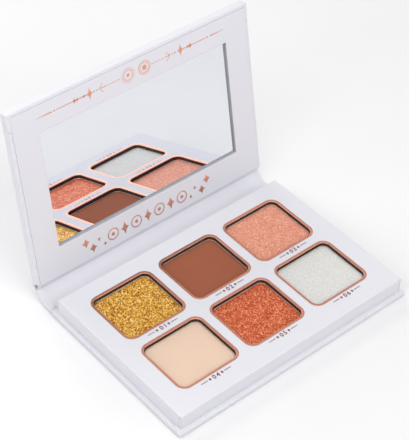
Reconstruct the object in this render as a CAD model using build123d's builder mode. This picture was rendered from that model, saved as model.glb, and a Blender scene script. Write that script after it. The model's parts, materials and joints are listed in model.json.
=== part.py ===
"""Book-style eyeshadow palette of wrapped paperboard.

A base board carries a raised tray with six pans of pressed powder. A rounded spine joins it to a lid
with a recessed mirror. The spine turns about two paper creases, one at each long edge. Sizes are in
millimetres. The origin is the middle of the base's underside, +X right, +Y towards the spine, +Z up.
The lid stands open, as the palette is used.
"""

import os
from math import asin, cos, degrees, radians, sin, sqrt

from build123d import *

os.makedirs("parts", exist_ok=True)

# ---- Cover boards: the base and the lid are the same size ----
board_thickness = 1.8
paper = 0.2  # soft-touch wrapping paper
turn_in = 12.0  # how far the wrap is turned in over a board's edge

# ---- Tray on the base ----
tray_side_margin = 1.65
tray_front_margin = 1.8
tray_back_margin = 2.4
tray_height = 7.0
tray_paper = 0.3  # printed paper over the tray
floor_thickness = 0.6

# ---- Windows, pans and powder: three columns and two rows ----
window_width = 27.8
window_depth = 25.0
window_radius = 3.2
column_gap = 6.2  # between two windows side by side
row_gap = 6.25
grid_side_margin = 9.15  # from the outer windows to the tray's sides
grid_front_margin = 9.865  # wider than at the back, for the labels
grid_back_margin = 8.585
pan_clearance = 0.15  # gap between a pan and its well, on each side
pan_wall = 0.35
pan_recess = 1.6  # from the tray's top down to the pan's rim
powder_below_rim = 0.1
powder_edge = 0.2  # chamfer round the pressed cake
pad_thickness = 0.2
pad_margin = 4.0  # from the pan's side to the glue pad's edge

# ---- Magnets ----
magnet_diameter = 6.0
magnet_thickness = 1.5
magnet_clearance = 0.1
magnet_spacing = 76.0

# ---- Lid ----
frame_thickness = 1.9
liner_thickness = 0.3
liner_margin = 1.5  # lid rim left showing round the lining sheet
lid_step = 1.2  # the frame starts this far in front of the lid board's back edge
mirror_side_margin = 12.65  # from the mirror's window to the lid's edges
mirror_front_margin = 12.84
mirror_back_margin = 12.96
mirror_clearance = 0.25
mirror_thickness = 1.1
tape_thickness = 0.15

# ---- Spine and its two creases ----
crease_gap = 0.2  # from a board's back edge to the crease's axis
crease_depth = 0.35  # from a board's outer face to the crease's axis
crease_cover = 0.3  # from the crease's axis to the spine's outer face
closed_gap = 0.25  # between the tray's top and the lid's lining when shut
spine_bulge = 1.85  # rise of the rounded spine over the line between the creases
spine_card = 1.1
spine_card_gap = 2.3  # from a crease's axis to the card's edge, along the spine
spine_end_margin = 0.3  # the spine is this much shorter than the boards at each end
liner_end_margin = 2.6  # the spine's liner stops this far from the spine's ends
spine_open = 62.8  # angle of the spine from shut to the resting place
lid_open = 101.94  # angle between tray and lid at the resting place

# ---- Heights on the base ----
board_top = paper + board_thickness
base_top = board_top + paper
floor_top = base_top + floor_thickness
core_top = base_top + tray_height - tray_paper
tray_top = base_top + tray_height
pan_bottom = floor_top + pad_thickness
pan_top = tray_top - pan_recess
powder_top = pan_top - powder_below_rim

# ---- The tray is as large as its windows and margins, and the boards go round the tray ----
column_pitch = window_width + column_gap
row_pitch = window_depth + row_gap
tray_width = 3 * window_width + 2 * column_gap + 2 * grid_side_margin
tray_depth = 2 * window_depth + row_gap + grid_front_margin + grid_back_margin
board_width = tray_width + 2 * tray_side_margin
board_depth = tray_depth + tray_front_margin + tray_back_margin
tray_y = (tray_front_margin - tray_back_margin) / 2
tray_front = tray_y - tray_depth / 2
grid_y = tray_y + (grid_front_margin - grid_back_margin) / 2
columns = {"left": -column_pitch, "middle": 0.0, "right": column_pitch}
rows = {"back": grid_y + row_pitch / 2, "front": grid_y - row_pitch / 2}
places = {f"{row}_{column}": (x, y) for row, y in rows.items() for column, x in columns.items()}
window_front = rows["front"] - window_depth / 2
magnet_y = (tray_front + tray_paper + window_front) / 2

# ---- Lid heights, measured inwards from its outer face ----
lid_board_top = paper + board_thickness
frame_top = lid_board_top + frame_thickness
lid_wrap_top = frame_top + paper
lid_thickness = lid_wrap_top + liner_thickness
tape_top = lid_board_top + tape_thickness
lid_length = board_depth - lid_step  # from the frame's back edge to the front edge
mirror_width = board_width - 2 * mirror_side_margin
mirror_height = lid_length - mirror_front_margin - mirror_back_margin

# ---- Where the creases are: shut first, then opened ----
crease_y = board_depth / 2 + crease_gap
crease_z = crease_depth
shut_top = tray_top + closed_gap + lid_thickness
spine_chord = shut_top - 2 * crease_depth
open_turn = radians(spine_open)
lid_crease_y = crease_y + spine_chord * sin(open_turn)
lid_crease_z = crease_z + spine_chord * cos(open_turn)

# ---- The rounded spine is an arc through both creases ----
spine_radius = spine_chord**2 / (8 * spine_bulge) + spine_bulge / 2
spine_half_angle = degrees(asin(spine_chord / 2 / spine_radius))
arc_reach = sqrt(spine_radius**2 - (spine_chord / 2) ** 2)
spine_centre = (
    crease_y - arc_reach * cos(open_turn) + spine_chord / 2 * sin(open_turn),
    crease_z + arc_reach * sin(open_turn) + spine_chord / 2 * cos(open_turn),
)
spine_width = board_width - 2 * spine_end_margin
card_half_angle = spine_half_angle - degrees(spine_card_gap / spine_radius)
spine_outside = spine_radius + crease_cover
card_outside = spine_outside - paper
card_inside = card_outside - spine_card

# ---- The lid's plane: its origin is on the outer face under the frame's back edge ----
lid_turn = radians(lid_open)
up_lid = Vector(0, -cos(lid_turn), sin(lid_turn))
into_lid = Vector(0, -sin(lid_turn), -cos(lid_turn))
lid_crease = Vector(0, lid_crease_y, lid_crease_z)
lid_origin = lid_crease + up_lid * (crease_gap + lid_step) - into_lid * crease_depth
lid_plane = Plane(origin=lid_origin, x_dir=(1, 0, 0), z_dir=into_lid)


def save(piece, name):
    """Labels a finished piece and writes its STEP file."""
    piece.part.label = name
    export_step(piece.part, f"parts/{name}.step")


def plate(width, depth, middle_y, plane, thickness):
    """Adds a flat rectangle of material to the piece that is being built."""
    with BuildSketch(plane) as outline:
        with Locations((0, middle_y)):
            Rectangle(width, depth)
    extrude(outline.sketch, amount=thickness)


def cut_plate(width, depth, middle_y, plane, thickness):
    """Takes a flat rectangle out of the piece that is being built."""
    with BuildSketch(plane) as outline:
        with Locations((0, middle_y)):
            Rectangle(width, depth)
    extrude(outline.sketch, amount=thickness, mode=Mode.SUBTRACT)


def cut_windows(plane, thickness):
    """Takes the six rounded windows out of the piece that is being built."""
    with BuildSketch(plane) as outlines:
        with Locations(*places.values()):
            RectangleRounded(window_width, window_depth, window_radius)
    extrude(outlines.sketch, amount=thickness, mode=Mode.SUBTRACT)


def arc_band(inside, outside, half_angle, width):
    """Adds a rounded strip along X, centred on the spine's arc."""
    start = -spine_open - half_angle
    with BuildSketch(Plane.YZ) as section:
        with BuildLine():
            inner = CenterArc(spine_centre, inside, start, 2 * half_angle)
            outer = CenterArc(spine_centre, outside, start, 2 * half_angle)
            Line(inner @ 0, outer @ 0)
            Line(inner @ 1, outer @ 1)
        make_face()
    extrude(section.sketch, amount=width / 2, both=True)


# ==== Base: greyboard with the paper wrapped round it ====

with BuildPart() as base_board:
    plate(board_width - 2 * paper, board_depth - 2 * paper, 0, Plane.XY.offset(paper), board_thickness)
save(base_board, "base_board")

with BuildPart() as base_wrap:
    plate(board_width, board_depth, 0, Plane.XY, base_top)
    cut_plate(
        board_width - 2 * paper, board_depth - 2 * paper, 0, Plane.XY.offset(paper), board_thickness
    )
    cut_plate(board_width - 2 * turn_in, board_depth - 2 * turn_in, 0, Plane.XY.offset(board_top), paper)
save(base_wrap, "base_wrap")

# ==== Tray: floor, die-cut core and printed paper ====

core_width = tray_width - 2 * tray_paper
core_depth = tray_depth - 2 * tray_paper

with BuildPart() as tray_floor:
    plate(core_width, core_depth, tray_y, Plane.XY.offset(base_top), floor_thickness)
save(tray_floor, "tray_floor")

with BuildPart() as tray_core:
    plate(core_width, core_depth, tray_y, Plane.XY.offset(floor_top), core_top - floor_top)
    cut_windows(Plane.XY.offset(floor_top), core_top - floor_top)
    with BuildSketch(Plane.XY.offset(core_top)):
        with Locations((-magnet_spacing / 2, magnet_y), (magnet_spacing / 2, magnet_y)):
            Circle(magnet_diameter / 2 + magnet_clearance)
    extrude(amount=-magnet_thickness - magnet_clearance, mode=Mode.SUBTRACT)
save(tray_core, "tray_core")

with BuildPart() as tray_wrap:
    plate(tray_width, tray_depth, tray_y, Plane.XY.offset(base_top), tray_height)
    cut_plate(core_width, core_depth, tray_y, Plane.XY.offset(base_top), core_top - base_top)
    cut_windows(Plane.XY.offset(core_top), tray_paper)
save(tray_wrap, "tray_wrap")

with BuildPart() as tray_magnets:
    with BuildSketch(Plane.XY.offset(core_top - magnet_clearance)):
        with Locations((-magnet_spacing / 2, magnet_y), (magnet_spacing / 2, magnet_y)):
            Circle(magnet_diameter / 2)
    extrude(amount=-magnet_thickness)
save(tray_magnets, "tray_magnets")

# ==== Pans: a pressed tinplate godet and its powder cake in each window ====

pan_width = window_width - 2 * pan_clearance
pan_depth = window_depth - 2 * pan_clearance
pan_radius = window_radius - pan_clearance
cake_width = pan_width - 2 * pan_wall
cake_depth = pan_depth - 2 * pan_wall
cake_radius = pan_radius - pan_wall

for place, (x, y) in places.items():
    with BuildPart() as pan:
        with BuildSketch(Plane.XY.offset(pan_bottom)):
            with Locations((x, y)):
                RectangleRounded(pan_width, pan_depth, pan_radius)
        extrude(amount=pan_top - pan_bottom)
        with BuildSketch(Plane.XY.offset(pan_top)):
            with Locations((x, y)):
                RectangleRounded(cake_width, cake_depth, cake_radius)
        extrude(amount=pan_bottom + pan_wall - pan_top, mode=Mode.SUBTRACT)
    save(pan, f"pan_{place}")

    with BuildPart() as cake:
        with BuildSketch(Plane.XY.offset(pan_bottom + pan_wall)):
            with Locations((x, y)):
                RectangleRounded(cake_width, cake_depth, cake_radius)
        extrude(amount=powder_top - pan_bottom - pan_wall)
        chamfer(cake.faces().sort_by(Axis.Z)[-1].edges(), powder_edge)
    save(cake, f"shade_{place}")

with BuildPart() as pan_adhesive:
    with BuildSketch(Plane.XY.offset(floor_top)):
        with Locations(*places.values()):
            Rectangle(pan_width - 2 * pad_margin, pan_depth - 2 * pad_margin)
    extrude(amount=pad_thickness)
save(pan_adhesive, "pan_adhesive")

# ==== Spine: rounded card between an outer paper and a liner ====

with BuildPart() as spine_wrap:
    arc_band(card_outside, spine_outside, spine_half_angle, spine_width)
save(spine_wrap, "spine_wrap")

with BuildPart() as spine_board:
    arc_band(card_inside, card_outside, card_half_angle, spine_width - 2 * paper)
save(spine_board, "spine_board")

with BuildPart() as spine_liner:
    arc_band(card_inside - paper, card_inside, card_half_angle, spine_width - 2 * liner_end_margin)
save(spine_liner, "spine_liner")

# ==== Lid: cover board, window frame, wrap and lining sheet ====

lid_middle = lid_length - board_depth / 2
frame_middle = lid_length / 2
frame_width = board_width - 2 * paper
frame_length = lid_length - 2 * paper
mirror_middle = mirror_back_margin + mirror_height / 2
magnet_u = crease_y - crease_gap - lid_step - magnet_y

with BuildPart() as lid_board:
    plate(frame_width, board_depth - 2 * paper, lid_middle, lid_plane.offset(paper), board_thickness)
save(lid_board, "lid_board")

with BuildPart() as mirror_frame:
    plate(frame_width, frame_length, frame_middle, lid_plane.offset(lid_board_top), frame_thickness)
    cut_plate(
        mirror_width, mirror_height, mirror_middle, lid_plane.offset(lid_board_top), frame_thickness
    )
    with BuildSketch(lid_plane.offset(lid_board_top)):
        with Locations((-magnet_spacing / 2, magnet_u), (magnet_spacing / 2, magnet_u)):
            Circle(magnet_diameter / 2 + magnet_clearance)
    extrude(amount=frame_thickness, mode=Mode.SUBTRACT)
save(mirror_frame, "mirror_frame")

with BuildPart() as lid_wrap:
    plate(board_width, board_depth, lid_middle, lid_plane, lid_board_top)
    plate(board_width, lid_length, frame_middle, lid_plane.offset(lid_board_top), frame_thickness + paper)
    cut_plate(
        frame_width, board_depth - 2 * paper, lid_middle, lid_plane.offset(paper), board_thickness
    )
    cut_plate(
        frame_width, frame_length, frame_middle, lid_plane.offset(lid_board_top), frame_thickness
    )
    cut_plate(mirror_width, mirror_height, mirror_middle, lid_plane.offset(frame_top), paper)
save(lid_wrap, "lid_wrap")

with BuildPart() as lid_liner:
    plate(
        board_width - 2 * liner_margin,
        lid_length - liner_margin,
        (lid_length - liner_margin) / 2,
        lid_plane.offset(lid_wrap_top),
        liner_thickness,
    )
    cut_plate(mirror_width, mirror_height, mirror_middle, lid_plane.offset(lid_wrap_top), liner_thickness)
save(lid_liner, "lid_liner")

with BuildPart() as lid_magnets:
    with BuildSketch(lid_plane.offset(lid_board_top + magnet_clearance)):
        with Locations((-magnet_spacing / 2, magnet_u), (magnet_spacing / 2, magnet_u)):
            Circle(magnet_diameter / 2)
    extrude(amount=magnet_thickness)
save(lid_magnets, "lid_magnets")

# ==== Mirror: glass on a sheet of tape, in the frame's window ====

glass_width = mirror_width - 2 * mirror_clearance
glass_height = mirror_height - 2 * mirror_clearance

with BuildPart() as mirror_adhesive:
    plate(glass_width, glass_height, mirror_middle, lid_plane.offset(lid_board_top), tape_thickness)
save(mirror_adhesive, "mirror_adhesive")

with BuildPart() as mirror:
    plate(glass_width, glass_height, mirror_middle, lid_plane.offset(tape_top), mirror_thickness)
save(mirror, "mirror")

print("spine crease axis  y", round(crease_y, 4), "z", round(crease_z, 4))
print("lid crease axis    y", round(lid_crease_y, 4), "z", round(lid_crease_z, 4))
print("lid frame edge", lid_origin + into_lid * lid_thickness)
print("spine centre", spine_centre, "radius", spine_radius, "half angle", spine_half_angle)
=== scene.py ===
"""Looks of a book-style eyeshadow palette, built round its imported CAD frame.

Sizes are in millimetres and are turned into metres where a mesh is made. A point is (x, y, z) in the
frame: +X right, +Y towards the spine, +Z up, with the origin in the middle of the base's underside.
"""

import json
from math import cos, pi, radians, sin

import bmesh
import bpy
import numpy as np
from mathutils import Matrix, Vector, geometry


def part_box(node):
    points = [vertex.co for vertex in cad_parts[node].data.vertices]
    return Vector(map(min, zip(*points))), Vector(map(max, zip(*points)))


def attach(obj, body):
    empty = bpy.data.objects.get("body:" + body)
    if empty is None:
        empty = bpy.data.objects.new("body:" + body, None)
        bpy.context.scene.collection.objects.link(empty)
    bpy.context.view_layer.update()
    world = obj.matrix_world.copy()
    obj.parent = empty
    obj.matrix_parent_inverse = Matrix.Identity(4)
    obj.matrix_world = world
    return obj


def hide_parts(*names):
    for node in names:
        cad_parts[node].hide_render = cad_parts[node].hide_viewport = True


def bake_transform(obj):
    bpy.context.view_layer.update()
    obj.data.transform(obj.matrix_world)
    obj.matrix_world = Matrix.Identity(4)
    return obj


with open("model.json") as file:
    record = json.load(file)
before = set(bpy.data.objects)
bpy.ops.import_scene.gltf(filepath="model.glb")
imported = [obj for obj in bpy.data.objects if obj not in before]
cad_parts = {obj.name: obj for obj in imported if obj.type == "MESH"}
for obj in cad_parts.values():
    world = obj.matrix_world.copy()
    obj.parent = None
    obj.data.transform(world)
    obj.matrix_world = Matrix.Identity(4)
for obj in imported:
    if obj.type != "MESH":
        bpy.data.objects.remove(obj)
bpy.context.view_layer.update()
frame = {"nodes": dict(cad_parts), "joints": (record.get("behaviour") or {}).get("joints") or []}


# ==== Base board and its paper ====
# A 1.8 mm greyboard in one sheet of soft-touch paper. The sheet is drawn over the edges, turned in by
# 12 mm on the upper face, and folded flat at the front corners, the front flap over the side flaps.

paper_thickness = 0.2
turn_in = 12.0
cover_rounding = 0.45  # of the paper where it goes over a board's edge
cover_corner = 0.55
flap_thickness = 0.13
fold_sunk = 0.03  # a corner fold starts this far inside the paper that it lies on
fold_proud = flap_thickness - fold_sunk
flap_foot = 0.05  # the same on the base, where the fold lies flat
least_radius = 0.04  # of a ring's corners
corner_steps, side_steps = 8, 16
paper_white = (0.712, 0.708, 0.756)
paper_shade = (0.688, 0.684, 0.733)


def corners(node):
    """A CAD node's lowest and highest corners, in millimetres."""
    return [np.array(corner) * 1000 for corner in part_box(node)]


def circle(count):
    """Points round the unit circle: (cos a, sin a)."""
    a = np.linspace(0, 2 * pi, count + 1)[:-1]
    return np.stack([np.cos(a), np.sin(a)], -1)


def rectangle(left, right, front, back, radius):
    """Outline of a rounded rectangle, anticlockwise: round each corner, centre + radius (cos a, sin a) over
    a quarter turn, and along each side, evenly spaced points from one corner to the next."""
    near, far = [left + radius, front + radius], [right - radius, back - radius]
    centres = np.array([far, [near[0], far[1]], near, [far[0], near[1]]])
    angles = np.linspace(0, pi / 2, corner_steps + 1) + np.arange(4)[:, None] * pi / 2
    arcs = centres[:, None] + radius * np.stack([np.cos(angles), np.sin(angles)], -1)
    starts, ends = arcs[:, -1:], np.roll(arcs, -1, 0)[:, :1]
    share = np.arange(1, side_steps)[:, None] / side_steps
    return np.concatenate([arcs, starts + (ends - starts) * share], 1).reshape(-1, 2)


def carried(profile, sides, radius):
    """A profile carried round a rounded rectangle. Each row is an inset and a height, and gives one ring: the
    outline moved inwards by the inset, with corners that much tighter, at that height."""
    rings = []
    all_sides = np.broadcast_to(sides, (len(profile), 4))
    for (inset, height), (left, right, front, back) in zip(profile, all_sides):
        tighter = max(radius - inset, least_radius)
        ring = rectangle(left + inset, right - inset, front + inset, back - inset, tighter)
        rings.append(np.column_stack([ring, np.full(len(ring), height)]))
    return np.array(rings)


def bend(inset, height, radius, start, end, steps=6):
    """Profile rows on an arc: (inset + radius cos a, height + radius sin a), a from start to end degrees."""
    a = np.radians(np.linspace(start, end, steps + 1))
    return list(zip(inset + radius * np.cos(a), height + radius * np.sin(a)))


def quads(rows, columns, closed=True):
    """Four-sided faces between neighbouring rows of points. In closed rows the last point joins the first."""
    grid = np.arange(rows * columns).reshape(rows, columns)
    right = np.roll(grid, -1, 1)
    cells = np.stack([grid[:-1], right[:-1], right[1:], grid[1:]], -1)
    return (cells if closed else cells[:, :-1]).reshape(-1, 4)


def skin(rings):
    """Rings of points and the faces between them."""
    return rings.reshape(-1, 3), quads(*rings.shape[:2])


def capped(rings):
    """A skin over rings of a few points, with one face on its first ring and one on its last."""
    face = [list(range(rings.shape[1]))]
    return [skin(rings), (rings[0], face), (rings[-1], face)]


def within(points, loop):
    """Whether each point lies in a loop: a line to its right crosses the loop an odd number of times."""
    (x1, y1), (x2, y2) = loop.T, np.roll(loop, -1, 0).T
    x, y = points[:, :1], points[:, 1:]
    crossed = (y1 > y) != (y2 > y)
    where = x1 + (y - y1) * (x2 - x1) / np.where(y1 == y2, 1, y2 - y1)
    return (crossed & (x < where)).sum(1) % 2 == 1


def flat(outline, height, holes=()):
    """A flat face at a height: triangles between an outline and its holes, on the loops' own points."""
    loops = [loop[:, :2] for loop in (outline, *holes)]
    points = np.concatenate(loops)
    firsts = np.cumsum([0] + [len(loop) for loop in loops])
    edges = [
        (first + i, first + (i + 1) % len(loop))
        for first, loop in zip(firsts, loops) for i in range(len(loop))
    ]
    made = geometry.delaunay_2d_cdt([Vector(p) for p in points], edges, [], 1, 1e-6)
    corner_points, triangles = np.array(made[0]), np.array(made[2])
    middles = corner_points[triangles].mean(1)
    kept = within(middles, loops[0])
    for hole in loops[1:]:
        kept &= ~within(middles, hole)
    return np.column_stack([corner_points, np.full(len(corner_points), height)]), triangles[kept]


def shell(rings):
    """A skin over rings, with flat faces inside its first ring and its last."""
    return [skin(rings), *(flat(ring, ring[0, 2]) for ring in (rings[0], rings[-1]))]


class Wire:
    """A value on a material's node, in a sum. Arithmetic on it adds Math nodes."""

    def __init__(self, finish, socket):
        self.finish, self.socket = finish, socket

    def sum(self, operation, *values):
        return self.finish.node("Math", {"operation": operation}, values)

    __add__ = lambda self, other: self.sum("ADD", self, other)
    __radd__ = __add__
    __sub__ = lambda self, other: self.sum("SUBTRACT", self, other)
    __rsub__ = lambda self, other: self.sum("SUBTRACT", other, self)
    __mul__ = lambda self, other: self.sum("MULTIPLY", self, other)
    __rmul__ = __mul__
    __truediv__ = lambda self, other: self.sum("DIVIDE", self, other)
    __pow__ = lambda self, other: self.sum("POWER", self, other)
    __abs__ = lambda self: self.sum("ABSOLUTE", self)


class Finish:
    """A procedural material. Its opening values are set on the shader's own sockets."""

    def __init__(self, name, **surface):
        self.material = bpy.data.materials.new(name)
        self.material.use_nodes = True
        self.nodes, self.links = self.material.node_tree.nodes, self.material.node_tree.links
        self.shader = self.nodes["Principled BSDF"]
        self.feed(self.shader, {key.replace("_", " "): value for key, value in surface.items()})
        self.place = self.node("TexCoord", output="Object")

    def feed(self, node, inputs):
        """Sets or links a node's sockets, given by name or in order."""
        pairs = inputs.items() if isinstance(inputs, dict) else enumerate(inputs)
        for key, value in pairs:
            if isinstance(value, Wire):
                self.links.new(value.socket, node.inputs[key])
            elif hasattr(value, "__len__") and len(value) == 3 and node.inputs[key].type == "RGBA":
                node.inputs[key].default_value = (*value, 1)
            else:
                node.inputs[key].default_value = value

    def node(self, kind, settings=None, inputs=(), output=0):
        """Adds a node of any type: its settings first, then its sockets. Returns one of its outputs."""
        node = self.nodes.new("ShaderNode" + kind)
        for key, value in (settings or {}).items():
            if key == "stops":
                ramp = node.color_ramp.elements
                while len(ramp) < len(value):
                    ramp.new(0.5)
                for element, (at, colour) in zip(ramp, value):
                    element.position, element.color = at, (*colour, 1)
            else:
                setattr(node, key, value)
        self.feed(node, inputs)
        return Wire(self, node.outputs[output])

    def grain(self, size, detail, stretch=None):
        """Smooth noise from about 0.2 to 0.8 with features of that size in millimetres."""
        place = self.place
        if stretch:
            place = self.node("Mapping", {}, {"Vector": place, "Scale": stretch})
        return self.node("TexNoise", {}, {"Vector": place, "Scale": 1000 / size, "Detail": detail})

    def blend(self, share, first, second):
        """One colour turning into another by share."""
        return self.node("Mix", {"data_type": "RGBA"}, {0: share, 6: first, 7: second}, output=2)

    def relief(self, height, depth, strength):
        """A bump of that depth in millimetres."""
        bump = self.node("Bump", {}, {"Strength": strength, "Distance": depth / 1000, "Height": height})
        self.feed(self.shader, {"Normal": bump})

    def show(self, **surface):
        """Links what changes over the surface to the shader."""
        self.feed(self.shader, {key.replace("_", " "): value for key, value in surface.items()})
        return self.material


def wrapping_paper(name, light, dark):
    """Soft-touch paper: a faint cloudiness 15 mm across, a fine tooth, and a soft sheen."""
    finish = Finish(name, Sheen_Weight=0.35, Sheen_Roughness=0.35, Specular_IOR_Level=0.65)
    cloud = finish.grain(15, 3) * 0.65 + finish.grain(0.5, 4) * 0.35
    tooth = finish.grain(0.16, 3)
    finish.relief(tooth + finish.grain(1.2, 2) * 0.3, 0.012, 0.5)
    colour = finish.blend(cloud, dark, light)
    return finish.show(Base_Color=colour, Roughness=0.5 + tooth * 0.14)


def board_finish(name, light, dark, ply=None):
    """Pressed board: grey or brown pulp with short fibres and flecks. A `ply` is the height of a paler line
    where two boards are glued together."""
    finish = Finish(name, Roughness=0.9, Specular_IOR_Level=0.2)
    fibre = finish.grain(0.35, 4, (1.0, 0.35, 1.6))
    fleck = finish.grain(0.9, 5) ** 2
    finish.relief(fibre, 0.05, 0.6)
    colour = finish.blend(fibre * 0.7 + fleck * 0.6, dark, light)
    if ply:
        height = finish.node("SeparateXYZ", {}, (finish.place,), output="Z") * 1000 + fibre * 0.06
        smooth = {"interpolation_type": "SMOOTHSTEP"}
        line = finish.node("MapRange", smooth, (abs(height - ply), 0.05, 0.16, 1, 0))
        colour = finish.blend(line, colour, [3 * value for value in light])
    return finish.show(Base_Color=colour)


def piece(name, blocks, finish, place=None, sharp=35):
    """Joins blocks of points and faces into one object: points in the same place become one, and the faces
    of the closed skin are turned outwards. `place` takes points from a section's own plane to the frame."""
    points = np.concatenate([np.reshape(block[0], (-1, 3)) for block in blocks])
    faces, first = [], 0
    for block_points, block_faces in blocks:
        faces += (np.asarray(block_faces) + first).tolist()
        first += np.size(block_points) // 3
    if place:
        points = place(points)
    mesh = bpy.data.meshes.new(name)
    mesh.from_pydata(points / 1000, [], faces)
    joined = bmesh.new()
    joined.from_mesh(mesh)
    bmesh.ops.remove_doubles(joined, verts=joined.verts, dist=2e-7)
    bmesh.ops.recalc_face_normals(joined, faces=joined.faces)
    joined.to_mesh(mesh)
    joined.free()
    mesh.shade_smooth()
    mesh.set_sharp_from_angle(angle=radians(sharp))
    mesh.materials.append(finish)
    made = bpy.data.objects.new(name, mesh)
    bpy.context.scene.collection.objects.link(made)
    return made


def thin(outline, bottom, top, rounding):
    """A thin flat plate: its top, its underside and a wall, with the upper edge eased."""
    inner = outline + (outline.mean(0) - outline) * (rounding / np.abs(outline - outline.mean(0)).max())
    levels = ((outline, bottom), (outline, top - rounding), (inner, top))
    rings = np.array([np.column_stack([ring, np.full(len(ring), height)]) for ring, height in levels])
    return shell(rings)


def paint(finish, *nodes):
    """Gives CAD nodes their finish."""
    for node in nodes:
        frame["nodes"][node].data.materials.clear()
        frame["nodes"][node].data.materials.append(finish)


base_low, base_high = corners("base_wrap")
base_sides = (base_low[0], base_high[0], base_low[1], base_high[1])
base_top = base_high[2]
r = cover_rounding
base_profile = [
    (r + 0.6, 0), *bend(r, r, r, 270, 180), *bend(r, base_top - r, r, 180, 90), (r + 0.35, base_top),
    (turn_in, base_top), (turn_in, base_top - paper_thickness), (paper_thickness, base_top - paper_thickness),
    (paper_thickness, paper_thickness), (r + 0.6, paper_thickness),
]
base_rings = carried(base_profile, base_sides, cover_corner)
soft_paper = wrapping_paper("soft_touch_paper", paper_white, paper_shade)
base_cover = piece("base_cover", shell(base_rings), soft_paper)
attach(base_cover, "base")
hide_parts("base_wrap")

# The front flap lies over the side flaps at each front corner, with its end cut on a slant.
flap_points = np.array([(0.45, 0.42), (0.45, 3.4), (1.5, 6.6), (5.0, 6.9), (5.0, 0.42)])
shadow_line_offset = np.array([(0, 0), (-0.02, 0.15), (-0.05, 0.2), (0, 0.2), (0, 0)])  # how far the painted shadow line reaches past the flap's cut edge
# Darker grey-lilac paper for thin sheets that show just past cut edges and seams: painted shadow lines where
# paper lies on paper.
painted_shadow_line = board_finish("painted_shadow_line_paper", (0.46, 0.45, 0.50), (0.36, 0.35, 0.40))
for side, name in ((1, "left"), (-1, "right")):
    corner = np.array([base_low[0] if side > 0 else base_high[0], base_low[1]])
    outline = corner + flap_points * (side, 1)
    sheet = thin(outline, base_top - flap_foot, base_top + flap_thickness, 0.03)
    fold = piece(f"base_fold_{name}", sheet, soft_paper)
    # Under each fold a slightly larger, thinner sheet in that darker finish shows past its cut edge as a
    # painted shadow line.
    outline = corner + (flap_points + shadow_line_offset) * (side, 1)
    sheet = thin(outline, base_top - flap_foot, base_top + 0.03, 0.01)
    edge = piece(f"base_fold_painted_shadow_{name}", sheet, painted_shadow_line)
    for made in (fold, edge):
        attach(made, "base")

greyboard = board_finish("greyboard", (0.50, 0.50, 0.52), (0.33, 0.33, 0.345))
paint(greyboard, "base_board")


# ==== Tray ====
# A raised block of dark brown die-cut board with six windows, glued to the base and covered with a printed
# sheet. The sheet is drawn down over the sides and meets in an upright seam at each front corner.

tray_paper = 0.3
tray_rounding = 0.5
tray_corner = 0.6
foot_rounding = 0.35  # the sheet turns under at the tray's foot
window_radius = 3.2
pan_clearance = 0.15
lip = 0.16  # rounding of the printed sheet at a window
core_brown = (0.050, 0.024, 0.015)
core_dark = (0.022, 0.010, 0.006)
places = [f"{row}_{column}" for row in ("back", "front") for column in ("left", "middle", "right")]

tray_low, tray_high = corners("tray_wrap")
tray_sides = (tray_low[0], tray_high[0], tray_low[1], tray_high[1])
tray_foot, tray_top = tray_low[2], tray_high[2]
core_top = tray_top - tray_paper

windows = {}
for name in places:
    low, high = corners(f"pan_{name}") + np.array([[-pan_clearance], [pan_clearance]])
    windows[name] = (low[0], high[0], low[1], high[1])

r = tray_rounding
tray_profile = [
    (tray_paper, tray_foot), *bend(foot_rounding, tray_foot + foot_rounding, foot_rounding, 250, 180),
    (0, tray_foot + foot_rounding + 0.3), (0, tray_top - r - 0.4),
    *bend(r, tray_top - r, r, 180, 90, 8), (r + 0.4, tray_top),
]
under_profile = [(tray_paper + 0.2, core_top), (tray_paper, core_top), (tray_paper, tray_foot)]
lip_profile = [(-lip - 0.3, tray_top), *bend(-lip, tray_top - lip, lip, 90, 0, 4), (0, core_top)]
tray_rings = carried(tray_profile, tray_sides, tray_corner)
under_rings = carried(under_profile, tray_sides, tray_corner)
lips = [carried(lip_profile, sides, window_radius) for sides in windows.values()]
tray_cover = piece(
    "tray_cover",
    [
        skin(tray_rings), skin(under_rings), *map(skin, lips),
        flat(tray_rings[-1], tray_top, [rings[0] for rings in lips]),
        flat(under_rings[0], core_top, [rings[-1] for rings in lips]),
    ],
    soft_paper,
)
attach(tray_cover, "base")
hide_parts("tray_wrap")

glue_line = tray_top - 1.05
core_board = board_finish("core_board", core_brown, core_dark, glue_line)
paint(core_board, "tray_core", "tray_floor")

# At each front corner the front wall's paper ends in an upright seam, a paper's thickness proud of the side.
# Along its edge a thin sheet of darker grey-lilac paper is a painted shadow line. Rows are (how far out, how
# far back) from the corner.
seam_reach = 0.9
heights = np.linspace(tray_foot + 0.02, tray_top - tray_rounding * 0.6, 24)
share = np.linspace(0, 1, len(heights))
reach = seam_reach * (1 - 0.55 * share**6) * (1 - 0.5 * (1 - share) ** 12)
seam_rows = [(0.10, reach), (0.12, reach * 0.9), (0.02, reach * 0), (-0.1, reach * 0), (-0.1, reach)]
shadow_line_rows = [(0.04, reach + 0.22), (0.04, reach), (-0.1, reach), (-0.1, reach + 0.22)]
for x, side, name in ((tray_low[0], -1, "left"), (tray_high[0], 1, "right")):
    for part, rows, finish in (("", seam_rows, soft_paper), ("edge_", shadow_line_rows, painted_shadow_line)):
        sheets = [
            np.column_stack([np.full(len(heights), x + side * out), tray_low[1] + back, heights])
            for out, back in rows
        ]
        made = piece(f"tray_seam_{part}{name}", capped(np.stack(sheets, 1)), finish)
        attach(made, "base")


# ==== Foil on the tray ====
# A ring of rose-gold foil is hot-stamped round each window and turns over its edge. In front of each window
# its number is stamped between two fine rules.

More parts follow.
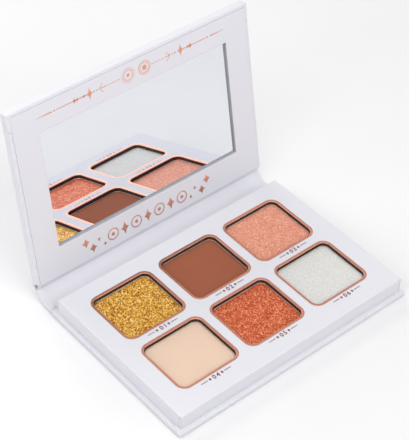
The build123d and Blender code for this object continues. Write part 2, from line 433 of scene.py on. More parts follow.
foil_width = 1.1
foil_thickness = 0.03
foil_sunk = 0.02  # stamped shapes start this far inside the paper's face
foil_rose = (0.86, 0.41, 0.29)
foil_deep = (0.76, 0.34, 0.23)
label_brown = (0.42, 0.17, 0.11)
label_deep = (0.33, 0.12, 0.08)
label_height = 2.1
label_gap = 1.5  # from a window's front edge to the number's top


def foil_finish(name, light, dark, roughness):
    """Stamped foil: slightly uneven in tone and gloss where the paper's tooth shows through."""
    finish = Finish(name, Metallic=1.0)
    tooth = finish.grain(0.2, 3)
    finish.relief(tooth, 0.003, 0.5)
    cloud = finish.grain(3.0, 3) * 0.6 + tooth * 0.4
    return finish.show(Base_Color=finish.blend(cloud, dark, light), Roughness=roughness + tooth * 0.12)


rose_foil = foil_finish("rose_gold_foil", foil_rose, foil_deep, 0.22)
f = foil_thickness
ring_profile = [
    (-foil_width, tray_top - foil_sunk), (-foil_width, tray_top + f), (-lip - 0.25, tray_top + f),
    *bend(-lip, tray_top - lip, lip + f, 90, 0, 4),
    (f, tray_top - lip - foil_sunk), (-foil_sunk, tray_top - lip - foil_sunk),
    *bend(-lip, tray_top - lip, lip - foil_sunk, 0, 90, 4),
]
for name, sides in windows.items():
    rings = carried(ring_profile, sides, window_radius)
    ring = piece(f"foil_ring_{name}", [skin(np.concatenate([rings, rings[:1]]))], rose_foil)
    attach(ring, "base")

label_foil = foil_finish("label_foil", label_brown, label_deep, 0.26)


def number(text, height, middle, level):
    """Points and faces of a number: its letter shapes as a thin mesh, set to that height and place."""
    curve = bpy.data.curves.new(text, "FONT")
    curve.body, curve.align_x, curve.align_y = text, "CENTER", "CENTER"
    curve.extrude, curve.resolution_u, curve.space_character, curve.offset = 0.01, 4, 1.35, 0.028
    letters = bpy.data.objects.new(text, curve)
    bpy.context.scene.collection.objects.link(letters)
    bpy.context.view_layer.update()
    mesh = bpy.data.meshes.new_from_object(letters.evaluated_get(bpy.context.evaluated_depsgraph_get()))
    points = np.empty(len(mesh.vertices) * 3, np.float32)
    mesh.vertices.foreach_get("co", points)
    mesh.calc_loop_triangles()
    faces = np.empty(len(mesh.loop_triangles) * 3, np.int32)
    mesh.loop_triangles.foreach_get("vertices", faces)
    points = points.reshape(-1, 3).astype(float)
    bpy.data.objects.remove(letters)
    bpy.data.curves.remove(curve)
    bpy.data.meshes.remove(mesh)
    points[:, :2] -= (points[:, :2].min(0) + points[:, :2].max(0)) / 2
    points[:, :2] *= height / np.ptp(points[:, 1])
    points[:, 2] = np.where(points[:, 2] > 0, level + foil_thickness, level - foil_sunk)
    points[:, :2] += middle
    return points, faces.reshape(-1, 3)


def rule(x_start, x_end, y, start_width, end_width, level):
    """A fine stamped line along X whose width goes from one end's to the other's."""
    ends = np.array([(x_start, y), (x_end, y), (x_end, y), (x_start, y)])
    sides = np.array([(0, -start_width), (0, -end_width), (0, end_width), (0, start_width)]) / 2
    return stamp(ends + sides, level)


def stamp(outline, level):
    """A stamped shape: its outline just under the paper's face and a foil's thickness over it, both filled
    from the middle, and a wall between them."""
    count = len(outline)
    middle = outline.mean(0)
    lower, upper = level - foil_sunk, level + foil_thickness
    rings = [np.column_stack([outline, np.full(count, height)]) for height in (lower, upper)]
    points = np.concatenate([*rings, [(*middle, lower)], [(*middle, upper)]])
    i = np.arange(count)
    j = np.roll(i, -1)
    walls = np.stack([i, j, j + count], -1), np.stack([i, j + count, i + count], -1)
    under = np.stack([j, i, np.full(count, 2 * count)], -1)
    over = np.stack([i + count, j + count, np.full(count, 2 * count + 1)], -1)
    return points, np.concatenate([*walls, under, over])


lozenge = circle(4).round()
lozenge_at, rule_from, rule_to = 2.95, 4.1, 7.3  # to each side of a number's middle
for index, (name, (left, right, front, back)) in enumerate(windows.items(), start=1):
    x, y = (left + right) / 2, front - label_gap - label_height / 2
    blocks = [number(f"0{index}", label_height, (x, y), tray_top)]
    for side in (-1, 1):
        blocks.append(rule(x + side * rule_from, x + side * rule_to, y, 0.36, 0.30, tray_top))
        blocks.append(stamp((x + side * lozenge_at, y) + lozenge * (0.62, 0.72), tray_top))
    label = piece(f"label_{name}", blocks, label_foil)
    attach(label, "base")


# ==== Pans ====
# Each shade is in a shallow pan pressed from tinplate, with a rolled rim, glued to the tray's floor.

pan_wall = 0.35
rim = 0.16  # the tin is drawn thinner at its upper edge
pan_corner = window_radius - pan_clearance

tin = Finish("tinplate", Metallic=1.0)
streak = tin.grain(0.6, 3, (0.15, 1.0, 1.0))
tin.relief(streak, 0.01, 0.4)
tin_colour = tin.blend(streak, (0.66, 0.64, 0.63), (0.90, 0.88, 0.87))
tinplate = tin.show(Base_Color=tin_colour, Roughness=0.3 + streak * 0.25)
for name in places:
    low, high = corners(f"pan_{name}")
    bottom, top = low[2], high[2]
    profile = [
        (1.2, bottom), *bend(0.8, bottom + 0.8, 0.8, 270, 180), (0, top - rim),
        *bend(rim / 2, top - rim / 2, rim / 2, 180, 0, 8), (rim, top - 0.6), (pan_wall, top - 1.2),
        (pan_wall, bottom + 1.0), *bend(pan_wall + 0.6, bottom + 0.95, 0.6, 180, 270),
        (1.2, bottom + pan_wall),
    ]
    rings = carried(profile, (low[0], high[0], low[1], high[1]), pan_corner)
    pan = piece(f"pan_{name}_tin", shell(rings), tinplate)
    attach(pan, "base")
    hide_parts(f"pan_{name}")

tape = Finish("glue_tape", Roughness=0.55, Specular_IOR_Level=0.4)
tape_grain = tape.grain(0.8, 4)
tape.relief(tape_grain, 0.03, 0.5)
adhesive = tape.show(Base_Color=tape.blend(tape_grain, (0.70, 0.69, 0.64), (0.84, 0.83, 0.79)))
nickel = Finish("nickel_plate", Metallic=1.0)
nickel_grain = nickel.grain(0.4, 4)
nickel_colour = nickel.blend(nickel_grain, (0.42, 0.42, 0.42), (0.62, 0.61, 0.60))
magnet = nickel.show(Base_Color=nickel_colour, Roughness=0.25 + nickel_grain * 0.3)
paint(adhesive, "pan_adhesive")
paint(magnet, "tray_magnets")


# ==== Powder ====
# Six cakes of pressed powder, level with just under the rims: two smooth mattes, and four shimmers, whose
# mica flakes lie at all angles. The press leaves the edge of each cake a little rounded.

cake_step = 0.15  # between a cake's grid points
cake_gap = 0.01  # the cake's side from the pan's wall
edge_fall = 0.28  # a cake's edge lies this far below its face
groove = 0.035  # left by the press's own edge, all round


def cake_grid(width, depth, radius):
    """A square grid drawn into a rounded rectangle. In a corner square, a point (a, b) from 0 to 1 goes to
    (a sqrt(1 - b²/2), b sqrt(1 - a²/2)), which makes its outer sides a quarter circle."""
    x = np.linspace(-width / 2, width / 2, round(width / cake_step) + 1)
    y = np.linspace(-depth / 2, depth / 2, round(depth / cake_step) + 1)
    x, y = np.meshgrid(x, y)
    a = np.clip((np.abs(x) - width / 2 + radius) / radius, 0, 1)
    b = np.clip((np.abs(y) - depth / 2 + radius) / radius, 0, 1)
    new_x = np.minimum(np.abs(x), width / 2 - radius) + radius * a * np.sqrt(1 - b * b / 2)
    new_y = np.minimum(np.abs(y), depth / 2 - radius) + radius * b * np.sqrt(1 - a * a / 2)
    return np.sign(x) * new_x, np.sign(y) * new_y


def edge_distance(x, y, width, depth, radius):
    """How far inside a rounded rectangle's outline each point is."""
    over_x, over_y = np.abs(x) - width / 2 + radius, np.abs(y) - depth / 2 + radius
    outside = np.hypot(np.maximum(over_x, 0), np.maximum(over_y, 0))
    return radius - outside - np.minimum(np.maximum(over_x, over_y), 0)


def unevenness(x, y, size, draw):
    """Smooth random height from -1 to 1: drawn values on a square lattice, joined by 3t² - 2t³."""
    i, j = np.floor(x / size).astype(int), np.floor(y / size).astype(int)
    s, t = x / size - i, y / size - j
    s, t = s * s * (3 - 2 * s), t * t * (3 - 2 * t)
    table = draw.uniform(-1, 1, (np.ptp(j) + 2, np.ptp(i) + 2))
    i, j = i - i.min(), j - j.min()
    lower = table[j, i] * (1 - s) + table[j, i + 1] * s
    upper = table[j + 1, i] * (1 - s) + table[j + 1, i + 1] * s
    return lower * (1 - t) + upper * t


def flakes(x, y, size, draw):
    """Flat flakes: each point belongs to the nearest of the random centres in the lattice squares round it,
    and gets that flake's tone, from 0 to 1, and its height, tilt x times dx plus tilt y times dy."""
    i, j = np.floor(x / size).astype(int), np.floor(y / size).astype(int)
    i, j = i - i.min() + 1, j - j.min() + 1
    low_x, low_y = np.floor(x.min() / size) - 1, np.floor(y.min() / size) - 1
    shape = (j.max() + 2, i.max() + 2)
    shift_x, shift_y, tone, tilt_x, tilt_y = draw.uniform(0, 1, (5, *shape))
    nearest = np.full(x.shape, np.inf)
    found_tone, height = np.zeros(x.shape), np.zeros(x.shape)
    for di in (-1, 0, 1):
        for dj in (-1, 0, 1):
            ii, jj = i + di, j + dj
            dx = x - (low_x + ii + shift_x[jj, ii]) * size
            dy = y - (low_y + jj + shift_y[jj, ii]) * size
            distance = dx * dx + dy * dy
            closer = distance < nearest
            nearest = np.where(closer, distance, nearest)
            found_tone = np.where(closer, tone[jj, ii], found_tone)
            tilted = dx * (tilt_x[jj, ii] - 0.5) + dy * (tilt_y[jj, ii] - 0.5)
            height = np.where(closer, tilted, height)
    return found_tone, height


def cake(name, colours, seed, flake_size, flake_tilt, soft_height, metallic, roughness, grain_size):
    """One pressed cake: its top is a fine grid with the press's unevenness and the flakes' tilts, and its
    wall goes straight down to the pan."""
    low, high = corners(f"shade_{name}")
    width, depth = (high - low)[:2] + 2 * (pan_wall - rim - cake_gap)
    radius = window_radius - pan_clearance - rim
    draw = np.random.default_rng(seed)
    x, y = cake_grid(width, depth, radius)
    inside = edge_distance(x, y, width, depth, radius)
    tone, tilt = flakes(x, y, flake_size, draw)
    away = np.clip(inside / 0.8, 0, 1)
    swells = ((0.5, 7), (0.35, 2.2), (0.4, 0.6))
    height = soft_height * sum(share * unevenness(x, y, size, draw) for share, size in swells)
    height = (height + flake_tilt * tilt) * away - edge_fall * np.clip(1 - inside / 0.55, 0, 1) ** 2
    height -= groove * np.exp(-(((inside - 1.15) / 0.22) ** 2))
    rows, columns = x.shape
    middle = (low + high) / 2
    top = np.stack([x + middle[0], y + middle[1], high[2] - 0.02 + np.minimum(height, 0.1)], -1)
    grid = np.arange(rows * columns).reshape(rows, columns)
    border = np.concatenate([grid[0], grid[1:, -1], grid[-1, -2::-1], grid[-2:0:-1, 0]])
    foot = top.reshape(-1, 3)[border] * (1, 1, 0) + (0, 0, low[2])
    points = np.concatenate([top.reshape(-1, 3), foot])
    below = rows * columns + np.arange(len(border))
    wall = np.stack([border, below, np.roll(below, -1), np.roll(border, -1)], -1)
    faces = [*quads(rows, columns, closed=False).tolist(), *wall.tolist(), below[::-1].tolist()]

    mesh = bpy.data.meshes.new(f"powder_{name}")
    mesh.from_pydata(points / 1000, [], faces)
    mesh.shade_smooth()
    mesh.set_sharp_from_angle(angle=radians(60))
    tones = np.concatenate([tone.ravel(), np.full(len(border), 0.5)]).astype(np.float32)
    mesh.attributes.new("flake", "FLOAT", "POINT").data.foreach_set("value", tones)

    finish = Finish(f"powder_{name}", Metallic=metallic, Specular_IOR_Level=0.3)
    flake = finish.node("Attribute", {"attribute_name": "flake"}, output="Fac")
    grains = finish.grain(grain_size, 4)
    share = flake * 0.75 + grains * 0.25 if flake_tilt else finish.grain(6, 3) * 0.3 + grains * 0.7
    stops = list(zip(np.linspace(0.12, 0.88, len(colours)), colours))
    colour = finish.node("ValToRGB", {"stops": stops}, (share,))
    finish.relief(grains, 0.05, 0.7)
    finish.show(Base_Color=colour, Roughness=roughness + grains * 0.2)
    mesh.materials.append(finish.material)
    made = bpy.data.objects.new(f"powder_{name}", mesh)
    bpy.context.scene.collection.objects.link(made)
    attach(made, "base")
    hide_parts(f"shade_{name}")


matte = dict(flake_size=0.4, flake_tilt=0, soft_height=0.02, metallic=0, roughness=0.75, grain_size=0.25)
cake(
    "back_left", [(0.25, 0.07, 0.003), (0.60, 0.265, 0.024), (0.86, 0.45, 0.065), (1.0, 0.82, 0.34)],
    seed=3, flake_size=0.46, flake_tilt=0.62, soft_height=0.06, metallic=0.4, roughness=0.25, grain_size=0.3,
)
cake("back_middle", [(0.275, 0.080, 0.040), (0.325, 0.098, 0.050), (0.365, 0.118, 0.060)], seed=5, **matte)
cake(
    "back_right", [(0.62, 0.19, 0.105), (0.75, 0.285, 0.185), (0.80, 0.34, 0.235), (0.94, 0.56, 0.43)],
    seed=7, flake_size=0.32, flake_tilt=0.26, soft_height=0.03, metallic=0.15, roughness=0.4, grain_size=0.25,
)
cake("front_left", [(0.70, 0.50, 0.375), (0.76, 0.56, 0.43), (0.80, 0.60, 0.465)], seed=11, **matte)
cake(
    "front_middle", [(0.37, 0.045, 0.012), (0.58, 0.105, 0.038), (0.71, 0.17, 0.070), (0.96, 0.40, 0.22)],
    seed=13, flake_size=0.42, flake_tilt=0.42, soft_height=0.05, metallic=0.35, roughness=0.3, grain_size=0.3,
)
cake(
    "front_right", [(0.61, 0.605, 0.575), (0.655, 0.65, 0.62), (0.68, 0.675, 0.645), (0.82, 0.815, 0.80)],
    seed=17, flake_size=0.3, flake_tilt=0.14, soft_height=0.03, metallic=0.05, roughness=0.45,
    grain_size=0.25,
)


# ==== Lid board, frame and their paper ====
# A 1.8 mm cover board carries a frame of the same grey pulp with the mirror's window. One sheet of paper
# goes over both, from the outer face round the edges, and is turned in by 12 mm on the frame.

joints = {joint["name"]: joint for joint in frame["joints"]}
open_turn = -radians(joints["spine_hinge"]["range_deg"][0] + joints["lid_hinge"]["range_deg"][0])
up_lid = np.array([0, -cos(open_turn), sin(open_turn)])
into_lid = np.array([0, -sin(open_turn), -cos(open_turn)])


def extent(node, direction):
    """The least and the greatest distance of a CAD node's points along a direction, in millimetres."""
    vertices = frame["nodes"][node].data.vertices
    points = np.empty(len(vertices) * 3, np.float32)
    vertices.foreach_get("co", points)
    along = points.reshape(-1, 3) @ direction * 1000
    return along.min(), along.max()


lid_low, lid_high = corners("lid_wrap")
lid_low, lid_high = lid_low + (fold_proud, 0, 0), lid_high - (fold_proud, 0, 0)
lid_back, lid_end = extent("lid_wrap", up_lid)
outer_face, lid_wrap_face = extent("lid_wrap", into_lid)
frame_back = extent("mirror_frame", up_lid)[0] - paper_thickness
frame_foot, frame_face = (level - outer_face for level in extent("mirror_frame", into_lid))
liner_end = extent("lid_liner", up_lid)[1] - frame_back
liner_face = extent("lid_liner", into_lid)[1] - outer_face
lid_length = lid_end - frame_back
lid_step = frame_back - lid_back
wrap_face = lid_wrap_face - outer_face


def on_lid(points):
    """From the lid's own plane to the frame: x as it is, u up the lid from the frame's back edge, and the
    height inwards from the lid's outer face."""
    x, u, height = np.moveaxis(np.asarray(points, float), -1, 0)
    along, inwards = (u + frame_back)[..., None], (height + outer_face)[..., None]
    return along * up_lid + inwards * into_lid + x[..., None] * (1, 0, 0)


whole_sides = (lid_low[0], lid_high[0], -lid_step, lid_length)
frame_sides = (lid_low[0], lid_high[0], 0, lid_length)
r = cover_rounding
outer_rows = [(r + 0.6, 0), *bend(r, r, r, 270, 180), (0, frame_foot)]
frame_rows = [
    (0, frame_foot), (0, wrap_face - r - 0.2), *bend(r, wrap_face - r, r, 180, 90), (r + 0.35, wrap_face),
    (turn_in, wrap_face), (turn_in, frame_face), (paper_thickness, frame_face), (paper_thickness, frame_foot),
]
inner_rows = [(paper_thickness, frame_foot), (paper_thickness, paper_thickness), (r + 0.6, paper_thickness)]
sides = [whole_sides] * len(outer_rows) + [frame_sides] * len(frame_rows) + [whole_sides] * len(inner_rows)
lid_rings = carried(outer_rows + frame_rows + inner_rows, sides, cover_corner)
lid_cover = piece("lid_cover", shell(lid_rings), soft_paper, on_lid)
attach(lid_cover, "lid")
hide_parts("lid_wrap")
paint(greyboard, "lid_board", "mirror_frame")
paint(magnet, "lid_magnets")

# At the two far corners, the end flap is folded round the lid's side and cut on a slant: a sheet that lies
# on the side's wall, over its rounded edge and on the rim.
fold_far, fold_near, fold_rim = 4.2, 7.4, 2.2
for side, name in ((-1, "left"), (1, "right")):
    section = [
        (0.0, 0.5), (0.0, wrap_face / 2), (0.0, wrap_face - r), *bend(r, wrap_face - r, r, 180, 90, 5)[1:],
        (fold_rim, wrap_face),
    ]
    inset, height = np.array(section).T
    share = np.linspace(0, 1, len(section))
    start = lid_length - (fold_far + (fold_near - fold_far) * np.clip(share * 1.25, 0, 1))
    end = np.full(len(section), lid_length - 0.5)
    slope = np.gradient(height), -np.gradient(inset)
    normal = np.stack([-slope[0], -slope[1]], -1) / np.hypot(*slope)[:, None]
    # The second sheet, in the darker grey-lilac finish, reaches past the flap's end as a painted shadow line.
    for part, near, upper, finish in (("", 0, flap_thickness, soft_paper), ("edge_", 0.24, 0.06, painted_shadow_line)):
        sheets = []
        for u, lift in ((start - near, 0), (start - near, upper), (end, upper), (end, 0)):
            out, up = (normal * (lift - fold_sunk)).T
            edge = lid_low[0] + (inset + out) if side < 0 else lid_high[0] - (inset + out)
            sheets.append(np.stack([edge, u, height + up], -1))
        fold = piece(f"lid_fold_{part}{name}", capped(np.stack(sheets, 1)), finish, on_lid)
        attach(fold, "lid")


# ==== Lid lining ====
# A stiffer printed sheet is glued over the frame and the turned-in paper, 1.5 mm short of the lid's edges.
# Its window is die-cut together with the frame's, so that the raw grey board shows round the mirror.

liner_low, liner_high = corners("lid_liner")
glass_low, glass_high = corners("mirror")
glass_back, glass_end = (level - frame_back for level in extent("mirror", up_lid))
glass_foot, glass_face = (level - outer_face for level in extent("mirror", into_lid))
mirror_clearance = 0.25
liner_foot = frame_face

mirror_sides = (
    glass_low[0] - mirror_clearance, glass_high[0] + mirror_clearance,
    glass_back - mirror_clearance, glass_end + mirror_clearance,
)
liner_sides = (liner_low[0], liner_high[0], 0.02, liner_end)
r = 0.12
liner_rows = [
    (0, liner_face - 0.32), (0, liner_face - r), *bend(r, liner_face - r, r, 180, 90, 4)[1:],
    (r + 0.3, liner_face),
]
window_rows = [(-r - 0.3, liner_face), *bend(-r, liner_face - r, r, 90, 0, 4), (0, liner_foot)]
liner_rings = carried(liner_rows, liner_sides, 0.4)
window_rings = carried(window_rows, mirror_sides, 0.3)
foot = liner_face - 0.32
foot_rings = carried([(0, liner_foot), (-0.5, liner_foot), (-0.5, foot)], mirror_sides, 0.3)
lid_lining = piece(
    "lid_lining",
    [
        skin(liner_rings), skin(window_rings), skin(foot_rings),
        flat(liner_rings[-1], liner_face, [window_rings[0]]),
        flat(liner_rings[0], foot, [foot_rings[-1]]),
    ],
    soft_paper, on_lid,
)
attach(lid_lining, "lid")
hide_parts("lid_liner")

# A thin band of darker grey-lilac paper all round the sheet's cut edge is a painted shadow line; round the
# mirror the frame's grey board shows.
band_rows = [
    (0.2, liner_face - 0.32), (-0.02, liner_face - 0.31), (-0.02, liner_face - 0.1), (0.2, liner_face - 0.1)
]
band_rings = carried([*band_rows, band_rows[0]], liner_sides, 0.4)
lining_shadow_line = piece("lid_lining_shadow_line", [skin(band_rings)], painted_shadow_line, on_lid)
band_rows = [
    (-0.2, liner_foot), (0.015, liner_foot), (0.015, liner_face - 0.06), (-0.2, liner_face - 0.06)
]
band_rings = carried([*band_rows, band_rows[0]], mirror_sides, 0.3)
window_core = piece("mirror_window_core", [skin(band_rings)], greyboard, on_lid)
for made in (lining_shadow_line, window_core):
    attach(made, "lid")


# ==== Mirror ====
# Silvered glass with its cut edges seamed, held by double-sided tape in the frame's window.

glass_sides = (glass_low[0], glass_high[0], glass_back, glass_end)
arris = 0.12
glass_fit = 0.2  # the glass almost touches the sides of its window
glass_rows = [
    (0, glass_foot), (-glass_fit, glass_foot + 0.1), (-glass_fit, glass_face - arris),
    (arris - glass_fit, glass_face), (arris + 0.2, glass_face),
]
silver = Finish("silvered_glass", Metallic=1.0)
haze = silver.grain(9, 3)
silver_colour = silver.blend(haze, (0.80, 0.815, 0.86), (0.83, 0.845, 0.885))
mirror_silver = silver.show(Base_Color=silver_colour, Roughness=haze * 0.012)
glass_rings = carried(glass_rows, glass_sides, 0.5)
mirror = piece("mirror_glass", shell(glass_rings), mirror_silver, on_lid, sharp=20)
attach(mirror, "lid")
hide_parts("mirror")
paint(adhesive, "mirror_adhesive")


# ==== Foil on the lining ====
# Rose-gold ornaments are stamped on the lining: a fine border of lines, dots, diamonds and rosettes above
# the mirror, and below it a row of rings and stars with small sparkles at its ends.


border_u = liner_end - 5.15
line_width = 0.36


def star(middle, wide, tall, waist=0.2):
    """A four-pointed star. From tip to tip its outline is (1-t)² tip + 2t(1-t) elbow + t² next tip, and
    a small waist brings the elbows near the middle."""
    near = waist * min(wide, tall)
    t = np.linspace(0, 1, 6)[:-1, None]
    tips = (lozenge * (wide, tall))[:, None]
    elbows = 0.7 * near * np.array([(1, 1), (-1, 1), (-1, -1), (1, -1)])[:, None]
    sides = (1 - t) ** 2 * tips + 2 * t * (1 - t) * elbows + t**2 * np.roll(tips, -1, 0)
    return stamp(middle + sides.reshape(-1, 2), liner_face)


def dot(middle, radius):
    """A round dot."""
    return stamp(middle + radius * circle(16), liner_face)


def diamond(middle, wide, tall):
    """A solid lozenge."""
    return stamp(middle + lozenge * (wide, tall), liner_face)


def hoop(middle, inner, outer):
    """A ring."""
    lower, upper = liner_face - foil_sunk, liner_face + foil_thickness
    rings = [
        np.column_stack([middle + radius * circle(32), np.full(32, height)])
        for radius, height in ((outer, lower), (outer, upper), (inner, upper), (inner, lower), (outer, lower))
    ]
    return skin(np.array(rings))


def line(x_start, x_end, start_width=line_width, end_width=line_width):
    """A stamped line of the border."""
    return rule(x_start, x_end, border_u, start_width, end_width, liner_face)


def chevron(x, way):
    """An open arrow head in the border: two thin arms from its tip."""
    blocks = []
    for side in (-1, 1):
        arm = np.array([(0, -0.18), (-1.7, 1.75), (-1.7, 2.15), (0, 0.22)]) * (way, side)
        blocks.append(stamp((x, border_u) + arm, liner_face))
    return blocks


ornaments = [
    line(-46.6, -39.2, 0.1, 0.6), line(-37.1, -22.6), line(-16.4, -13.8),
    line(15.2, 17.8), line(24.5, 36.1), line(38.4, 45.6, 0.6, 0.1), *chevron(-16.9, -1), *chevron(17.8, 1),
]
for x in (-21.5, 23.1):
    ornaments.append(star((x, border_u), 1.7, 2.9))
for x, wide, tall in ((-28.7, 0.75, 1.15), (-27.4, 0.55, 0.8), (26.9, 0.55, 0.8), (28.1, 0.75, 1.15)):
    ornaments.append(diamond((x, border_u), wide, tall))
for radius, row in (
    (0.50, (-24.2,)), (0.42, (-38.1, 37.0)), (0.38, (-19.4, -17.9, 19.0, 20.4)),
    (0.30, (-13.0, -11.6, -10.2, -8.9, -7.6, 8.9, 10.2, 11.5, 12.8, 14.0)),
):
    ornaments += [dot((x, border_u), radius) for x in row]
rayed, plain = np.array([-3.0, border_u]), np.array([5.0, border_u])
ornaments += [hoop(rayed, 1.95, 2.25), dot(rayed, 0.75)]
for turn in np.arange(20) * pi / 10:
    way = np.array([cos(turn), sin(turn)])
    across = 0.15 * np.array([-way[1], way[0]])
    tick = [2.55 * way - across, 3.4 * way - across * 0.6, 3.4 * way + across * 0.6, 2.55 * way + across]
    ornaments.append(stamp(rayed + np.array(tick), liner_face))
ornaments += [hoop(plain, 2.65, 2.95), hoop(plain, 1.95, 2.2), dot(plain, 1.1)]

row_u = 5.8
for index, x in enumerate(np.linspace(-20.5, 15.3, 7)):
    if index % 2:
        ornaments.append(star((x, row_u), 2.1, 3.1, 0.34))
    else:
        ornaments += [hoop((x, row_u), 2.25, 2.75), dot((x, row_u), 0.8)]
for x, u, size in (
    (-33.9, 8.0, 1.9), (-30.7, 4.35, 1.9), (-27.5, 6.9, 0.9), (-24.9, 3.6, 0.85),
    (19.9, 3.6, 0.85), (22.4, 6.8, 0.9), (25.9, 4.3, 1.9), (28.9, 8.0, 1.9),
):
    ornaments.append(star((x, u), size, size * 1.15, 0.42))
lid_foil = piece("lid_foil", ornaments, rose_foil, on_lid)
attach(lid_foil, "lid")


# ==== Spine ====
# A strip of card, rounded over its length, in the cover's own paper, which is folded round the card's ends.
# Between card and boards the bare paper is creased and bends. A lining strip covers the inside.

paper_width, lining_width = (corners(node)[1][0] for node in ("spine_wrap", "spine_liner"))  # half of each
crease_y, crease_z = (1000 * value for value in joints["spine_hinge"]["pos_m"][1:])
lid_crease_y, lid_crease_z = (1000 * value for value in joints["lid_hinge"]["pos_m"][1:])
crease_cover = 0.3  # from a crease's axis to the spine's outer face
spine_rise = 1.85  # of the rounded spine over the line between its creases
spine_body = 1.4  # card with the paper on both of its faces
card_gap = 2.3  # from a crease to the card's edge

chord = np.array([lid_crease_y - crease_y, lid_crease_z - crease_z])
half_chord = np.hypot(*chord) / 2
chord_way = chord / (2 * half_chord)
inward = np.array([-chord_way[1], chord_way[0]])
spine_radius = half_chord**2 / (2 * spine_rise) + spine_rise / 2
centre = np.array([crease_y, crease_z]) + chord / 2 + inward * (spine_radius - spine_rise)
half_angle = np.arcsin(half_chord / spine_radius)
card_angle = half_angle - card_gap / spine_radius
outside = spine_radius + crease_cover


def on_arc(radius, angle):
    """Points (y, z) on the spine's arc, at angles from its middle, positive towards the lid."""
    angle = np.asarray(angle)[:, None]
    return centre + np.reshape(radius, (-1, 1)) * (np.sin(angle) * chord_way - np.cos(angle) * inward)


def swept(section, half_width, ends):
    """A closed section in (y, z) carried along X, with its two ends drawn in a little to round them."""
    middle = section.mean(0)
    stations = [(-half_width, ends), (-half_width + ends * 0.3, ends * 0.3), (-half_width + ends, 0)]
    stations += [(x, 0) for x in np.linspace(-half_width, half_width, 17)[1:-1]]
    stations += [(-x, tight) for x, tight in stations[2::-1]]
    rings = []
    for x, tight in stations:
        away = section - middle
        drawn = middle + away * (1 - tight / np.linalg.norm(away, axis=1, keepdims=True).clip(1))
        rings.append(np.column_stack([np.full(len(section), x), drawn]))
    return np.array(rings)


def between(start, out, into, end, count):
    """Points on a curve from start to end that leaves along `out` and arrives along `into`:
    (1-t)³ start + 3(1-t)²t (start + out) + 3(1-t)t² (end - into) + t³ end."""
    t = np.linspace(0, 1, count)[:, None]
    start, out, into, end = (np.asarray(value, float) for value in (start, out, into, end))
    return (
        (1 - t) ** 3 * start + 3 * (1 - t) ** 2 * t * (start + out)
        + 3 * (1 - t) * t * t * (end - into) + t**3 * end
    )


def sheet_piece(name, upper, lower, half_width):
    """A sheet along X between an upper and a lower path of as many points, closed all round."""
    section = np.concatenate([upper, lower[::-1]])
    rings = swept(section, half_width, ends=0.06)
    count = len(upper)
    i = np.arange(count - 1)
    cap = np.stack([i, i + 1, 2 * count - 2 - i, 2 * count - 1 - i], -1)
    return piece(name, [skin(rings), (rings[0], cap), (rings[-1], cap)], soft_paper, sharp=50)


lid_yz = lambda u, height: on_lid(np.array([0, u, height]))[1:]
arc = np.linspace(0, half_angle, 40)
body = np.where(
    arc < card_angle, spine_body,
    0.2 + (spine_body - 0.2) * np.clip((half_angle - arc) / (half_angle - card_angle), 0, 1) ** 0.6,
)

# Outer paper, from inside the base's back edge to the middle of the spine, and on into the lid's back edge.
base_edge = np.array([base_high[1] - 0.55, 0.03])
bend_points = 7
paths = []
for radius, start in ((outside - body[::-1], base_edge + (0, 0.2)), (outside, base_edge)):
    path = on_arc(radius, -arc[::-1])
    lead = between(start, (0.3, 0), path[1] - path[0], path[0], bend_points)[:-1]
    paths.append(np.concatenate([lead, path]))
spine_paper_low = sheet_piece("spine_paper_low", *paths, paper_width)
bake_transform(spine_paper_low)
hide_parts("spine_wrap")

paths = []
for radius, height in ((outside - body, 0.23), (outside, 0.03)):
    path = on_arc(radius, arc)
    end = lid_yz(-lid_step + 0.55, height)
    tail = between(path[-1], path[-1] - path[-2], up_lid[1:] * 0.3, end, bend_points)[1:]
    paths.append(np.concatenate([path, tail]))
spine_paper_high = sheet_piece("spine_paper_high", *paths, paper_width)
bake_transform(spine_paper_high)

# Lining strip, from the tray's back wall over the base's edge into the cove, and up to the lid's lining.
strip = 0.2
cove = outside - spine_body + 0.1
arc_in = np.linspace(0, card_angle, 24)
shelf = np.array([(tray_high[1] + 0.02, base_top + strip), (base_high[1] - 0.5, base_top + strip)])
shelf = shelf[0] + (shelf[1] - shelf[0]) * np.linspace(0, 1, 5)[:, None]
paths = []
for radius, drop in ((cove - strip, 0), (cove, strip)):
    path = on_arc(radius, -arc_in[::-1])
    dip = between(shelf[-1] - (0, drop), (1.0, 0), (path[1] - path[0]) * 1.6, path[0], 16)[1:-1]
    paths.append(np.concatenate([shelf - (0, drop), dip, path]))
lining_low = sheet_piece("spine_lining_low", *paths, lining_width)
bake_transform(lining_low)
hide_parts("spine_liner")

cove_end = on_arc(cove - strip, arc_in[-2:])
lid_lip = lid_yz(0.35, liner_face + 0.04)
arrival = (lid_lip - cove_end[1]) * 0.35
leaving = (cove_end[1] - cove_end[0]) * 1.2 + arrival * 0.4


def rise(radius, angles, end):
    """A path along the cove that leaves it at its end and goes up to the lid."""
    path = on_arc(radius, angles)
    return np.concatenate([path, between(path[-1], leaving, arrival, end, 18)[1:]])


lid_lip_under = lid_yz(0.3, liner_face - 0.15)
paths = [rise(cove - strip, arc_in, lid_lip), rise(cove, arc_in, lid_lip_under)]
lining_high = sheet_piece("spine_lining_high", *paths, lining_width)
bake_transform(lining_high)

# Past the lining's ends, the cover's turned-in paper goes on up to the frame.
turn_lip, turn_lip_under = lid_yz(0.3, wrap_face - 0.02), lid_yz(0.3, wrap_face - 0.2)
paths = [rise(cove - 0.05, arc_in[-6:], turn_lip), rise(cove + 0.1, arc_in[-6:], turn_lip_under)]
turn_in_high = sheet_piece("spine_turn_in", *paths, paper_width - 0.1)
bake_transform(turn_in_high)
paint(greyboard, "spine_board")


# ==== Studio ====
# A pale floor, an even white surround, and soft boxes all round, the strongest in front and behind.

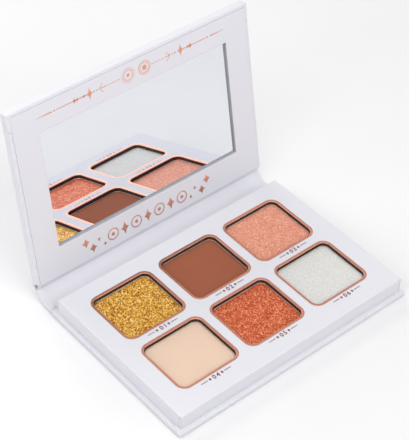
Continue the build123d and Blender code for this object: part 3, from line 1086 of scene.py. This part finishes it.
floor_mesh = bpy.data.meshes.new("floor")
floor_reach, floor_level = 3.0, -0.0002
floor_corners = np.array([(-1, -1), (1, -1), (1, 1), (-1, 1)]) * floor_reach
floor_mesh.from_pydata(np.column_stack([floor_corners, np.full(4, floor_level)]), [], [(0, 1, 2, 3)])
floor_finish = Finish("studio_floor", Roughness=0.8, Specular_IOR_Level=0.1)
floor_colour = floor_finish.blend(floor_finish.grain(40, 2), (0.79, 0.79, 0.795), (0.81, 0.81, 0.815))
floor_mesh.materials.append(floor_finish.show(Base_Color=floor_colour))
floor = bpy.data.objects.new("floor", floor_mesh)
bpy.context.scene.collection.objects.link(floor)

world = bpy.data.worlds.new("studio")
world.use_nodes = True
surround = world.node_tree.nodes["Background"].inputs
surround["Color"].default_value = (1.0, 1.0, 1.0, 1)
surround["Strength"].default_value = 0.35
bpy.context.scene.world = world

aim = (0, 0, 0.02)
for name, place, target, size, power in (
    ("left", (-0.85, 0.05, 0.40), aim, 0.6, 1.85),
    ("front", (0.0, -0.60, 0.80), aim, 0.6, 3.15),
    ("over", (0.0, 0.05, 0.95), aim, 0.6, 1.2),
    ("near", (-0.26, -0.10, 0.40), (-0.03, 0, 0.02), 0.25, 0.55),
    ("right", (0.52, -0.78, 0.40), aim, 0.6, 2.0),
    ("back", (0.45, 0.48, 0.57), aim, 0.5, 0.25),
    ("behind", (0.05, 0.85, 0.50), (0.05, 0.15, 0.03), 0.7, 4.6),
):
    light = bpy.data.lights.new(name, "AREA")
    light.shape, light.size, light.energy = "SQUARE", size, power
    box = bpy.data.objects.new(name, light)
    box.location = place
    box.rotation_euler = (Vector(target) - Vector(place)).to_track_quat("-Z", "Y").to_euler()
    bpy.context.scene.collection.objects.link(box)

camera = bpy.data.objects.new("camera", bpy.data.cameras.new("camera"))
camera.location = (-0.30016, -0.30640, 0.45033)
camera.rotation_euler = [radians(angle) for angle in (46.5946, -2.4436, -40.4906)]
camera.data.lens, camera.data.sensor_width = 127.88, 36
camera.data.clip_start = 0.01
bpy.context.scene.collection.objects.link(camera)
bpy.context.scene.camera = camera
bpy.context.scene.view_settings.view_transform = "Standard"
